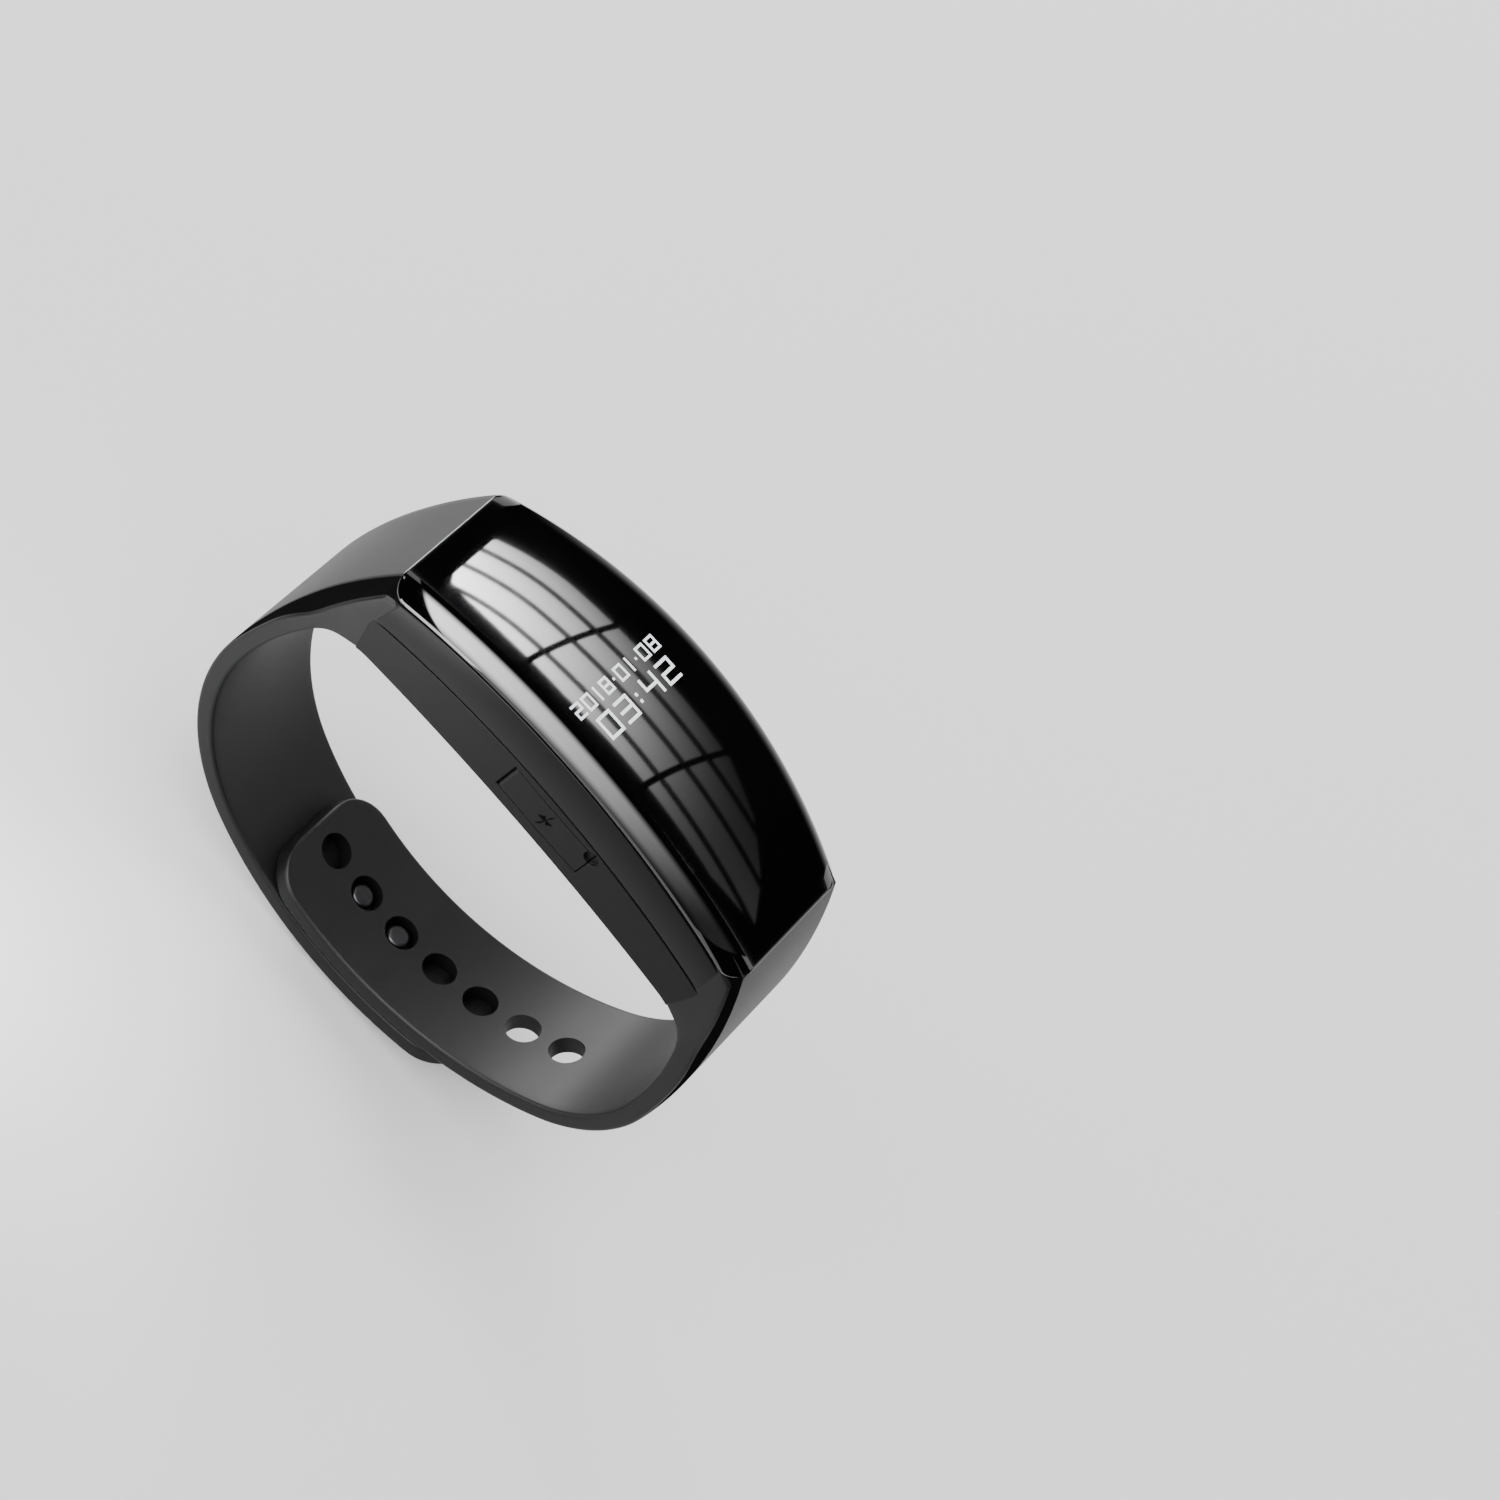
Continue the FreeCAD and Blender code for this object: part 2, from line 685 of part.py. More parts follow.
def make_strap_side(arcs, heading, side):
    """Strap from the module's end, round the side, to its bending line."""
    root_z = arch_height(glass_arch, module_half_length) - strap_step
    root_x = end_x(root_z)
    across = outside_x - root_x
    down = skin_z + root_z - side_z
    radius = (across ** 2 + down ** 2) / (2 * across)
    crown = (outside_x - radius, side_z, radius)
    crown_start = math.degrees(math.asin((root_x - 1 - crown[0]) / radius))
    start = math.degrees(math.asin((root_x - strap_bury) / top_radius))
    inner = loop_edges(arcs, start, heading, 0, side)
    outer = loop_edges(arcs, 90, heading, strap_thickness, side)
    shoulder = [arc_point(crown, h, 0, side) for h in (90, (90 + crown_start) / 2, crown_start)]
    skin_start = arc_point(arcs[0], start, 0, side)
    above = Vector(skin_start.x, 0, shoulder[2].z)
    edges = inner + [Part.makeLine(arc_point(arc_for(arcs, heading), heading, 0, side),
                                   arc_point(arc_for(arcs, heading), heading, strap_thickness, side))]
    edges += outer[::-1] + [Part.Arc(*shoulder).toShape(),
                            Part.makeLine(shoulder[2], above), Part.makeLine(above, skin_start)]
    strap = prism_y(edges).common(outline).cut(between_ends(0))
    strap = strap.cut(knuckle(arcs, heading, side, strap_thickness / 2 + knuckle_gap))
    strap = strap.cut(lug_block(side, lug_clearance)).cut(strap_pin(side))
    return strap


def make_strap_end(arcs, heading, tip, side, tip_x):
    """Strap from its bending line to its rounded tip past the middle."""
    first, last = arc_for(arcs, heading), arcs[-1]
    edges = loop_edges(arcs, heading, tip, 0, side) + loop_edges(arcs, heading, tip, strap_thickness, side)
    edges.append(Part.makeLine(arc_point(first, heading, 0, side),
                               arc_point(first, heading, strap_thickness, side)))
    edges.append(Part.makeLine(arc_point(last, tip, 0, side),
                               arc_point(last, tip, strap_thickness, side)))
    strap = prism_y(edges)
    strap = strap.fuse(knuckle(arcs, heading, side, strap_thickness / 2)).common(outline)
    corner_trim = (strap_root_width - strap_clasp_width) / 2
    plan = Part.makeBox(reach, strap_clasp_width, reach, Vector(0, -strap_clasp_width / 2, -1))
    plan = plan.makeFillet(strap_tip_rounding, [e for e in plan.Edges
                                                if abs(e.tangentAt(0).z) > 0.9 and e.BoundBox.XMax < 1])
    root = Part.makeBox(reach, strap_root_width, reach,
                        Vector(strap_tip_rounding + corner_trim, -strap_root_width / 2, -1))
    plan = plan.fuse(root)
    if side > 0:
        plan.translate(Vector(-tip_x, 0, 0))
    else:
        plan.rotate(Vector(0, 0, 0), Vector(0, 0, 1), 180)
        plan.translate(Vector(tip_x, 0, 0))
    return strap.common(plan)


def radial_pin(place, radius, inner, outer):
    """Cylinder square to the underside, at a place counted in peg pitches."""
    angle = place * peg_pitch / (underside_radius + strap_thickness)
    direction = Vector(math.sin(angle), 0, -math.cos(angle))
    start = Vector(0, 0, underside_centre_z) + direction * inner
    return Part.makeCylinder(radius, outer - inner, start, direction)


peg_places = (-0.5, 0.5)
hole_radius = peg_radius + peg_hole_clearance
layer_inner = underside_radius + layer_step
layer_outer = layer_inner + strap_thickness


def make_clasp_plate():
    """Metal plate, flat outside and curved to the strap inside."""
    half_length, half = clasp_plate_length / 2, clasp_plate_width / 2
    plate = Part.makeBox(clasp_plate_length, clasp_plate_width, 4, Vector(-half_length, -half, 0))
    plate = plate.makeFillet(clasp_plate_rounding, [e for e in plate.Edges if abs(e.tangentAt(0).z) > 0.9])
    strap_round = Part.makeCylinder(layer_outer, 2 * reach, Vector(0, -reach, underside_centre_z),
                                    Vector(0, 1, 0))
    return one_solid(plate.cut(strap_round))


def make_clasp_pegs():
    """Two pegs riveted through the outer layer, with domed ends."""
    pegs = []
    for place in peg_places:
        peg = radial_pin(place, peg_radius, layer_inner - peg_height, layer_outer)
        tip = [e for e in peg.Edges if e.BoundBox.ZMin > underside_centre_z - layer_inner + peg_height / 2
               and e.Closed]
        pegs.append(one_solid(peg.makeFillet(peg_radius / 3, tip).cut(parts["clasp_plate"])))
    return Part.makeCompound(pegs)


strap_left = make_strap_side(lapped_loop, peel_heading, -1)
strap_right = make_strap_side(straight_loop, tail_heading, 1)
strap_left_end = make_strap_end(lapped_loop, peel_heading, outer_tip_heading, -1, outer_layer_reach)
strap_right_tail = make_strap_end(straight_loop, tail_heading, tail_tip_heading, 1, tail_reach)
for place in side_hole_places:
    strap_right = strap_right.cut(radial_pin(place, hole_radius, underside_radius - 8, underside_radius + 8))
for place in tail_hole_places:
    strap_right_tail = strap_right_tail.cut(radial_pin(place, hole_radius, underside_radius - 8,
                                                       underside_radius + 8))
for place in peg_places:
    strap_left_end = strap_left_end.cut(radial_pin(place, peg_radius, layer_inner - 1, layer_outer + 1))

parts["strap_left"] = one_solid(strap_left)
parts["strap_right"] = one_solid(strap_right)
parts["strap_left_end"] = one_solid(strap_left_end)
parts["strap_right_tail"] = one_solid(strap_right_tail)
parts["clasp_plate"] = make_clasp_plate()
parts["clasp_pegs"] = make_clasp_pegs()

for name, shape in parts.items():
    shape.exportStep("parts/" + name + ".step")
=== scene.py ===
"""Looks of a fitness tracker band: a long black glass module on a moulded strap.

The shape formulas work in millimetres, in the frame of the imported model: +Z up with
the module on top, +X along the module, and the clasp plate standing on Z = 0.
"""

import math

import bmesh
import bpy
import numpy as np
from mathutils import Matrix, Vector


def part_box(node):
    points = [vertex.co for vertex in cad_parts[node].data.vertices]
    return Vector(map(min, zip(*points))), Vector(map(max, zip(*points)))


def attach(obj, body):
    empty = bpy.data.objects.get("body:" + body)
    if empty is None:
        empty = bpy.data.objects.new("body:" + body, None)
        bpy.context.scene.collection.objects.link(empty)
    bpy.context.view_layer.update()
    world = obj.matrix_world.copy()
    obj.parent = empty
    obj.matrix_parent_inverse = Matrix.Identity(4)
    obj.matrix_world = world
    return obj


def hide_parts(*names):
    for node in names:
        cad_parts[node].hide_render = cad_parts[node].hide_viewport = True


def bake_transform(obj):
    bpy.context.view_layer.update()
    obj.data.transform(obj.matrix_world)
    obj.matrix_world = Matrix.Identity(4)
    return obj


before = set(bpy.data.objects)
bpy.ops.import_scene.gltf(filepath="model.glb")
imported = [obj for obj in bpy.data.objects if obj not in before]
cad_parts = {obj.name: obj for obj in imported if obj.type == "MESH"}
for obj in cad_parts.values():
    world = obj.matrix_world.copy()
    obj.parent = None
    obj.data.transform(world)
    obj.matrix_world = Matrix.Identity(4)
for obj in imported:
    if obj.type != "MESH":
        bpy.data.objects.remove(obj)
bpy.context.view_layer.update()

# ------------------------------------------------------------ lower housing
# The tub that lies on the skin: dark grey polycarbonate with a fine spark-eroded
# texture, moulded in one shot with the lugs that the strap is pinned over.


class Shade:
    """An output socket of a material: arithmetic on it adds Math nodes, add() any other node."""

    def __init__(self, tree, socket=None):
        self.tree = tree
        self.socket = socket

    def add(self, kind, settings=None, inputs=None, output=0):
        """A node: its settings first, then the values or links of its sockets."""
        node = self.tree.nodes.new("ShaderNode" + kind)
        for name, value in (settings or {}).items():
            setattr(node, name, value)
        for name, value in (inputs or {}).items():
            if isinstance(value, Shade):
                self.tree.links.new(value.socket, node.inputs[name])
            else:
                node.inputs[name].default_value = value
        return Shade(self.tree, node.outputs[output])

    def maths(self, operation, first, second):
        """One Math node on two values."""
        return self.add("Math", {"operation": operation}, {0: first, 1: second})

    def __add__(self, other):
        return self.maths("ADD", self, other)

    __radd__ = __add__

    def __mul__(self, other):
        return self.maths("MULTIPLY", self, other)

    __rmul__ = __mul__


def new_finish(name, **constants):
    """A material with one Principled shader, and the values that are the same all over it."""
    made = bpy.data.materials.new(name)
    made.use_nodes = True
    shader = made.node_tree.nodes["Principled BSDF"]
    for socket, value in constants.items():
        shader.inputs[socket.replace("_", " ")].default_value = value
    return made, shader, Shade(made.node_tree)


def moulded(name, dark, light, roughness, grain, relief, stretch=(1, 1, 1), edge=0.0, **constants):
    """A finish with a fine grain and a slow drift of tone.

    Colour runs from dark to light with the drift, roughness between its two values
    with drift and grain, and the grain's height (metres) goes to the normal.
    An edge radius rounds off the light on sharp edges.
    """
    made, shader, start = new_finish(name, **constants)
    place = start.add("TexCoord", output="Object")
    place = start.add("Mapping", inputs={"Vector": place, "Scale": stretch})
    fine = start.add("TexNoise", inputs={"Vector": place, "Scale": 1 / grain, "Detail": 3.0})
    drift = start.add("TexNoise", inputs={"Vector": place, "Scale": 140.0, "Detail": 2.0})
    colour = start.add("Mix", {"data_type": "RGBA"},
                       {0: 0.7 * drift + 0.3 * fine, 6: (*dark, 1), 7: (*light, 1)}, output=2)
    low, high = roughness
    rough = low + (high - low) * (0.5 * drift + 0.5 * fine)
    bump = {"Height": fine, "Distance": relief, "Strength": 1.0}
    if edge:
        bump["Normal"] = start.add("Bevel", {"samples": 6}, {"Radius": edge})
    normal = start.add("Bump", inputs=bump)
    for socket, value in (("Base Color", colour), ("Roughness", rough), ("Normal", normal)):
        made.node_tree.links.new(value.socket, shader.inputs[socket])
    return made


def dress(material, slot, *nodes):
    """Gives CAD nodes a finish in place of the plain one they were packed with."""
    for node in nodes:
        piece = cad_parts[node]
        for place in piece.material_slots:
            place.material = material


polycarbonate = moulded("housing_polycarbonate", (0.0018, 0.0018, 0.002), (0.0036, 0.0036, 0.0039),
                        (0.40, 0.52), 0.00012, 0.000004, edge=0.00018, Specular_IOR_Level=0.12)
dress(polycarbonate, "housing", "lower_housing")

# --------------------------------------------------- screws, pins and seals
# Four pan-head steel screws hold the two halves of the case together, and a steel
# pin through each lug holds the strap. A black silicone ring seals the parting line.
turned_steel = moulded("turned_steel", (0.42, 0.42, 0.43), (0.56, 0.56, 0.57), (0.22, 0.36),
                       0.00008, 0.000001, stretch=(1, 1, 8), edge=0.00005, Metallic=1.0)
black_silicone = moulded("black_silicone", (0.006, 0.006, 0.006), (0.010, 0.010, 0.010),
                         (0.55, 0.7), 0.00015, 0.000003)
dress(turned_steel, "steel", "case_screws", "strap_pins", "motor_shaft")
dress(black_silicone, "seal", "case_seal")

# ------------------------------------------------------------- optical sensor
# Green emitters and a receiver on their own small board look at the skin through a
# smoked window, which is bonded into the floor of the housing.
smoked_window = moulded("smoked_window", (0.004, 0.003, 0.004), (0.007, 0.005, 0.006),
                        (0.05, 0.09), 0.0004, 0.0000005, Coat_Weight=0.6, Coat_Roughness=0.04)
board_mask = moulded("solder_mask", (0.006, 0.028, 0.014), (0.010, 0.045, 0.022), (0.3, 0.42),
                     0.0003, 0.000004, edge=0.00004)
led_lens = moulded("led_encapsulant", (0.35, 0.42, 0.30), (0.50, 0.58, 0.42), (0.15, 0.25),
                   0.0002, 0.000002)
dress(smoked_window, "window", "sensor_window")
dress(board_mask, "board", "sensor_board", "main_board")
dress(led_lens, "led", "sensor_leds")

# ------------------------------------------------------------ inside the case
# Board with its packages, pouch cell, stamped frame, display stack and the small
# motor with its half-round weight, as they come from their own makers.
chip_epoxy = moulded("chip_epoxy", (0.010, 0.010, 0.011), (0.020, 0.020, 0.021), (0.5, 0.65),
                     0.0001, 0.000003, edge=0.00005)
shield_tin = moulded("shield_tin", (0.45, 0.45, 0.44), (0.60, 0.60, 0.58), (0.25, 0.4),
                     0.0003, 0.000002, stretch=(1, 6, 1), edge=0.00005, Metallic=1.0)
ceramic = moulded("antenna_ceramic", (0.55, 0.54, 0.50), (0.68, 0.67, 0.62), (0.35, 0.5),
                  0.0002, 0.000002, edge=0.00005)
pouch_foil = moulded("pouch_foil", (0.40, 0.41, 0.42), (0.58, 0.59, 0.60), (0.28, 0.45),
                     0.0012, 0.00003, Metallic=1.0)
stamped_frame = moulded("stamped_frame", (0.36, 0.36, 0.37), (0.48, 0.48, 0.49), (0.32, 0.45),
                        0.0002, 0.000003, stretch=(1, 9, 1), edge=0.00005, Metallic=1.0)
polyimide = moulded("polyimide_ribbon", (0.28, 0.12, 0.02), (0.40, 0.18, 0.04), (0.25, 0.35),
                    0.0004, 0.000002)
display_glass = moulded("display_glass", (0.003, 0.003, 0.004), (0.006, 0.006, 0.007),
                        (0.06, 0.1), 0.0005, 0.0000005)
touch_film = moulded("touch_film", (0.010, 0.011, 0.013), (0.016, 0.017, 0.020), (0.08, 0.14),
                     0.0005, 0.0000005)
tungsten = moulded("sintered_tungsten", (0.20, 0.20, 0.20), (0.30, 0.30, 0.30), (0.4, 0.6),
                   0.0001, 0.000004, edge=0.00005, Metallic=1.0)
dress(chip_epoxy, "chip", "processor_chip", "memory_chip", "motion_sensor")
dress(shield_tin, "shield", "radio_module", "vibration_motor", "charging_socket")
dress(ceramic, "antenna_ceramic", "antenna")
dress(pouch_foil, "battery_foil", "battery")
dress(stamped_frame, "frame_metal", "inner_frame")
dress(polyimide, "flex", "display_flex")
dress(display_glass, "display", "display_panel")
dress(touch_film, "touch_film", "touch_sensor")
dress(tungsten, "weight", "motor_weight")

# ------------------------------------------------------ port and its contacts
# A small charging socket: a black tongue with five gilt strips in a drawn shell.
tongue_plastic = moulded("tongue_plastic", (0.012, 0.012, 0.012), (0.02, 0.02, 0.02),
                         (0.35, 0.5), 0.0001, 0.000002, edge=0.00004)
gilt = moulded("gilt_contacts", (0.75, 0.52, 0.20), (0.85, 0.62, 0.28), (0.18, 0.3),
               0.0001, 0.000001, Metallic=1.0)
dress(tongue_plastic, "tongue", "socket_tongue")
dress(gilt, "gold", "socket_contacts")

# ------------------------------------------------------------- the port's flap
# Soft flap flush with the flank, moulded in the same grey as the housing but a
# little rougher, with a charging mark printed on it in matt black.
flap_rubber = moulded("flap_rubber", (0.0020, 0.0020, 0.0022), (0.004, 0.004, 0.0043),
                      (0.45, 0.58), 0.00012, 0.000005, edge=0.00015, Specular_IOR_Level=0.12)
dress(flap_rubber, "flap", "port_flap")

MILLIMETRE = 0.001
half_length = 26.0
half_width = 11.4
end_half_width = 9.65
bow = half_width - end_half_width
plan_radius = (half_length ** 2 + bow ** 2) / (2 * bow)


def side_at(x):
    """Half the module's width at x: w - R + sqrt(R^2 - x^2), a bow of radius R."""
    return half_width - plan_radius + np.sqrt(plan_radius ** 2 - np.asarray(x) ** 2)


def mesh_piece(name, points, faces, material, smooth=True):
    """A mesh object from points (millimetres) and faces, doubles merged, faces outwards."""
    mesh = bpy.data.meshes.new(name)
    mesh.from_pydata((np.asarray(points).reshape(-1, 3) * MILLIMETRE).tolist(), [],
                     faces if isinstance(faces, list) else faces.tolist())
    work = bmesh.new()
    work.from_mesh(mesh)
    bmesh.ops.remove_doubles(work, verts=work.verts, dist=1e-8)
    bmesh.ops.dissolve_degenerate(work, edges=work.edges, dist=1e-8)
    bmesh.ops.recalc_face_normals(work, faces=work.faces)
    work.to_mesh(mesh)
    work.free()
    mesh.shade_smooth() if smooth else mesh.shade_flat()
    mesh.materials.append(material)
    piece = bpy.data.objects.new(name, mesh)
    bpy.context.scene.collection.objects.link(piece)
    return piece


def prisms(low, high):
    """Points and faces of thin prisms: each outline (n, 3) is given at its two levels."""
    points, faces = [], []
    for lower, upper in zip(low, high):
        first, count = len(points), len(lower)
        points += list(lower) + list(upper)
        faces += [list(range(first, first + count)), list(range(first + count, first + 2 * count))]
        for k in range(count):
            after = (k + 1) % count
            faces.append([first + k, first + after, first + count + after, first + count + k])
    return np.array(points), faces


flap_low, flap_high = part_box("port_flap")
mark_x = (flap_low.x + flap_high.x) / 2 / MILLIMETRE
mark_z = (flap_low.z + flap_high.z) / 2 / MILLIMETRE
mark_height = 3.0
bolt = np.array([(0.18, 0.5), (-0.32, -0.08), (-0.03, -0.08), (-0.18, -0.5), (0.32, 0.08), (0.03, 0.08)])
mark_print = moulded("mark_print", (0.0006, 0.0006, 0.0006), (0.001, 0.001, 0.001), (0.6, 0.7),
                     0.0002, 0.0000005, Specular_IOR_Level=0.02)


def on_flank(across, up, sunk):
    """Points on the near flank, or sunk below it: y = -(side(x) - sunk)."""
    return np.stack([across, sunk - side_at(across), up], 1)


mark_depth = 0.05
bolt_x, bolt_z = mark_x + mark_height * bolt[:, 0], mark_z + mark_height * bolt[:, 1]
bolt_points, bolt_faces = prisms([on_flank(bolt_x, bolt_z, mark_depth)], [on_flank(bolt_x, bolt_z, 0.0)])
charging_mark = mesh_piece("charging_mark", bolt_points, bolt_faces, mark_print, smooth=False)
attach(charging_mark, "port_flap")

# -------------------------------------------------------------- upper bezel
# Frame between the parting line and the glass: smoother satin polycarbonate, with
# its edges softened so that both joints show as thin dark lines.
skin_z = 47.1
glass_top = skin_z + 13.2
glass_radius = 62.0
parting_top = skin_z + 6.2
parting_radius = 69.0
skin_radius = 96.0
end_slant = 2.5
glass_arch = (glass_top, glass_radius)
parting_arch = (parting_top, parting_radius)


def arch_z(arch, x):
    """Height of an arch: top - R + sqrt(R^2 - x^2)."""
    top, radius = arch
    return top - radius + np.sqrt(radius ** 2 - np.asarray(x) ** 2)


glass_end_z = arch_z(glass_arch, half_length)
end_slope = end_slant / (glass_end_z - arch_z((skin_z, skin_radius), half_length))


plan_corner = 2.2
least_corner = 0.2
side_count, corner_count, end_count = 59, 21, 19


def module_ring(arch, side_inset, side_drop, end_inset, end_drop, share=1.0, corner=plan_corner):
    """One closed outline of the module, set in and dropped below an arch.

    A quarter of it runs along the bowed side, round a corner of radius c, where
    x = a - c + c sin t and y = w(x) - c (1 - cos t), and along the slanted end.
    Inset and drop go from their side to their end values round the corner.
    """
    half = half_length - (glass_end_z - arch_z(arch, half_length) + end_drop) * end_slope - end_inset
    corner = max(corner - max(side_inset, end_inset), least_corner)
    turn = np.linspace(0, math.pi / 2, corner_count)
    x = np.concatenate([np.linspace(0, half - corner, side_count + 1)[:-1],
                        half - corner + corner * np.sin(turn), np.full(end_count, half)])
    y = side_at(x) - side_inset
    round_corner = slice(side_count, side_count + corner_count)
    y[round_corner] -= corner * (1 - np.cos(turn))
    y[-end_count:] = np.linspace(y[-end_count - 1], 0, end_count + 1)[1:]
    mix = np.concatenate([np.zeros(side_count), np.sin(turn) ** 2, np.ones(end_count)])
    z_drop = side_drop + (end_drop - side_drop) * mix
    quarter = np.stack([x, y, z_drop], 1)
    loop = np.concatenate([quarter[:-1], (quarter[::-1] * (1, -1, 1))[:-1],
                           (quarter * (-1, -1, 1))[:-1], (quarter[::-1] * (-1, 1, 1))[:-1]])
    loop[:, :2] *= share
    loop[:, 2] = arch_z(arch, loop[:, 0]) - loop[:, 2]
    return loop


def grid_faces(rows, columns, close_rows):
    """Quads of a grid whose columns close on themselves, and its rows too if asked."""
    row = np.arange(rows if close_rows else rows - 1)[:, None]
    column = np.arange(columns)[None, :]
    after, beside = (row + 1) % rows, (column + 1) % columns
    corners = [row * columns + column, after * columns + column,
               after * columns + beside, row * columns + beside]
    return np.stack(corners, -1).reshape(-1, 4)


def ring_piece(name, rings, material, close_rows):
    """A piece carried round the module through a row of outlines."""
    points = np.stack(rings)
    return mesh_piece(name, points, grid_faces(len(rings), points.shape[1], close_rows), material)


def corner_steps(radius, count=5):
    """(inset, drop) pairs round an outer edge, from the wall to the top face."""
    turn = np.linspace(0, math.pi / 2, count)
    return list(zip(radius * (1 - np.cos(turn)), radius * (1 - np.sin(turn))))


bezel_satin = moulded("bezel_satin", (0.0016, 0.0016, 0.0018), (0.003, 0.003, 0.0033), (0.30, 0.40),
                      0.00010, 0.0000025, Specular_IOR_Level=0.12)
bezel_wall = 1.3
bezel_drop = 2.1
parting_gap = 0.16
parting_edge = 0.16
bezel_edge = 0.12
parting_corner = 0.5


def level_ring(arch, inset, drop, **plan):
    """An outline with the same inset and drop all round."""
    return module_ring(arch, inset, drop, inset, drop, **plan)


bezel_rings = [level_ring(parting_arch, inset, -parting_gap - drop, corner=parting_corner)
               for inset, drop in reversed(corner_steps(parting_edge))]
bezel_rings += [level_ring(glass_arch, inset, bezel_drop + drop) for inset, drop in corner_steps(bezel_edge)]
bezel_rings.append(level_ring(glass_arch, bezel_wall, bezel_drop))
bezel_rings.append(level_ring(parting_arch, bezel_wall, -parting_gap, corner=parting_corner))
bezel = ring_piece("bezel_frame", bezel_rings, bezel_satin, close_rows=True)
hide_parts("upper_bezel")
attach(bezel, "case")

# --------------------------------------------------------------- lens gasket
# Thin black silicone frame between bezel and glass, set in from both.
lens_skirt = 1.8
gasket_inset, gasket_bulge, gasket_wall = 0.3, 0.05, 1.25
gasket_rings = [level_ring(glass_arch, inset, drop) for inset, drop in (
    (gasket_inset, bezel_drop), (gasket_inset - gasket_bulge, (bezel_drop + lens_skirt) / 2),
    (gasket_inset, lens_skirt), (gasket_wall, lens_skirt), (gasket_wall, bezel_drop))]
gasket = ring_piece("glass_gasket", gasket_rings, black_silicone, close_rows=True)
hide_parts("lens_gasket")
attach(gasket, "case")

# ---------------------------------------------------------------- cover lens
# One piece of hot-bent glass, printed black behind: its long edges turn down in a
# full round shoulder, and its ends are only ground and polished.
lens_thickness = 1.0
lens_wall = 1.2
fillet = 0.3
lens_sink = 0.012
shoulder_width = 2.6
shoulder_drop = 1.62
ground_edge = 0.08
rim = 0.12
lens_rings = []
for share in np.sin(np.linspace(0, math.pi / 2, 26))[:-1]:
    lens_rings.append(module_ring(glass_arch, shoulder_width, lens_sink, ground_edge, lens_sink, share=share))
for turn in np.linspace(0, math.pi / 2, 15):
    inward, down = 1 - math.sin(turn), 1 - math.cos(turn)
    lens_rings.append(module_ring(glass_arch, shoulder_width * inward, lens_sink + shoulder_drop * down,
                                  ground_edge * inward, lens_sink + ground_edge * down))
for inset, drop in ((0.0, lens_skirt - rim), (rim * 0.3, lens_skirt - rim * 0.3), (rim, lens_skirt),
                    (lens_wall, lens_skirt), (lens_wall, lens_thickness + fillet)):
    lens_rings.append(level_ring(glass_arch, inset, drop))
for share in np.linspace(1, 0, 12):
    lens_rings.append(level_ring(glass_arch, lens_wall + fillet, lens_thickness, share=share))

black_glass = moulded("black_glass", (0.0008, 0.0008, 0.001), (0.0014, 0.0014, 0.0016), (0.03, 0.045),
                      0.0008, 0.00000005, Coat_Weight=0.5, Coat_Roughness=0.02, IOR=1.5)
lens = ring_piece("cover_glass", lens_rings, black_glass, close_rows=False)

# On the polished top each normal is the arch's own, (x/R, 0, sqrt(1 - (x/R)^2)), so
# that the glass reflects as one clean sheet.
top_at = np.zeros((len(lens.data.vertices), 3), np.float32)
lens.data.vertices.foreach_get("co", top_at.ravel())
top_at /= MILLIMETRE
exact = np.array([normal.vector for normal in lens.data.vertex_normals])
on_arch = np.abs(arch_z(glass_arch, top_at[:, 0]) - lens_sink - top_at[:, 2]) < 0.002
on_arch &= np.abs(top_at[:, 1]) < side_at(top_at[:, 0]) - shoulder_width + 0.01
on_arch &= np.abs(top_at[:, 0]) < half_length - 0.3
tilt = top_at[:, 0] / glass_radius
exact[on_arch] = np.stack([tilt, 0 * tilt, np.sqrt(1 - tilt ** 2)], 1)[on_arch]
lens.data.normals_split_custom_set_from_vertices(exact.tolist())
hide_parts("cover_lens")
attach(lens, "case")

# -------------------------------------------------------------- lit characters
# The display lights through the glass: a date above a larger time, in plain
# seven-bar numerals that read along the wrist.
SEGMENTS = {"0": "abcdef", "1": "bc", "2": "abged", "3": "abgcd", "4": "fgbc", "8": "abcdefg"}
BARS = {"a": (0, 1, 1, 1), "b": (1, 1, 1, .5), "c": (1, .5, 1, 0), "d": (0, 0, 1, 0),
        "e": (0, .5, 0, 0), "f": (0, 1, 0, .5), "g": (0, .5, 1, .5)}
DOTS = {".": (0.5,), ":": (0.32, 0.68)}
bars = []


def add_bar(start, end, stroke):
    """One lit bar between two points of the glass's plan, as four corners."""
    start, end = np.array(start), np.array(end)
    along = (end - start) / np.linalg.norm(end - start) * stroke / 2
    side = np.array([-along[1], along[0]])
    bars.append(np.array([start - along + side, start - along - side, end + along - side, end + along + side]))


def write(text, row_x, places, widths, height, stroke):
    """Bars of a row of characters: up is -X and reading is +Y."""
    for character, place, width in zip(text, places, widths):
        for rise in DOTS.get(character, ()):
            x = row_x + height * (0.5 - rise)
            add_bar((x - stroke * 0.05, place), (x + stroke * 0.05, place), stroke)
        for name in SEGMENTS.get(character, ""):
            y0, x0, y1, x1 = BARS[name]
            if character == "1":
                y0 = y1 = 0.5
            add_bar((row_x + height * (0.5 - x0), place + width * (y0 - 0.5)),
                    (row_x + height * (0.5 - x1), place + width * (y1 - 0.5)), stroke)


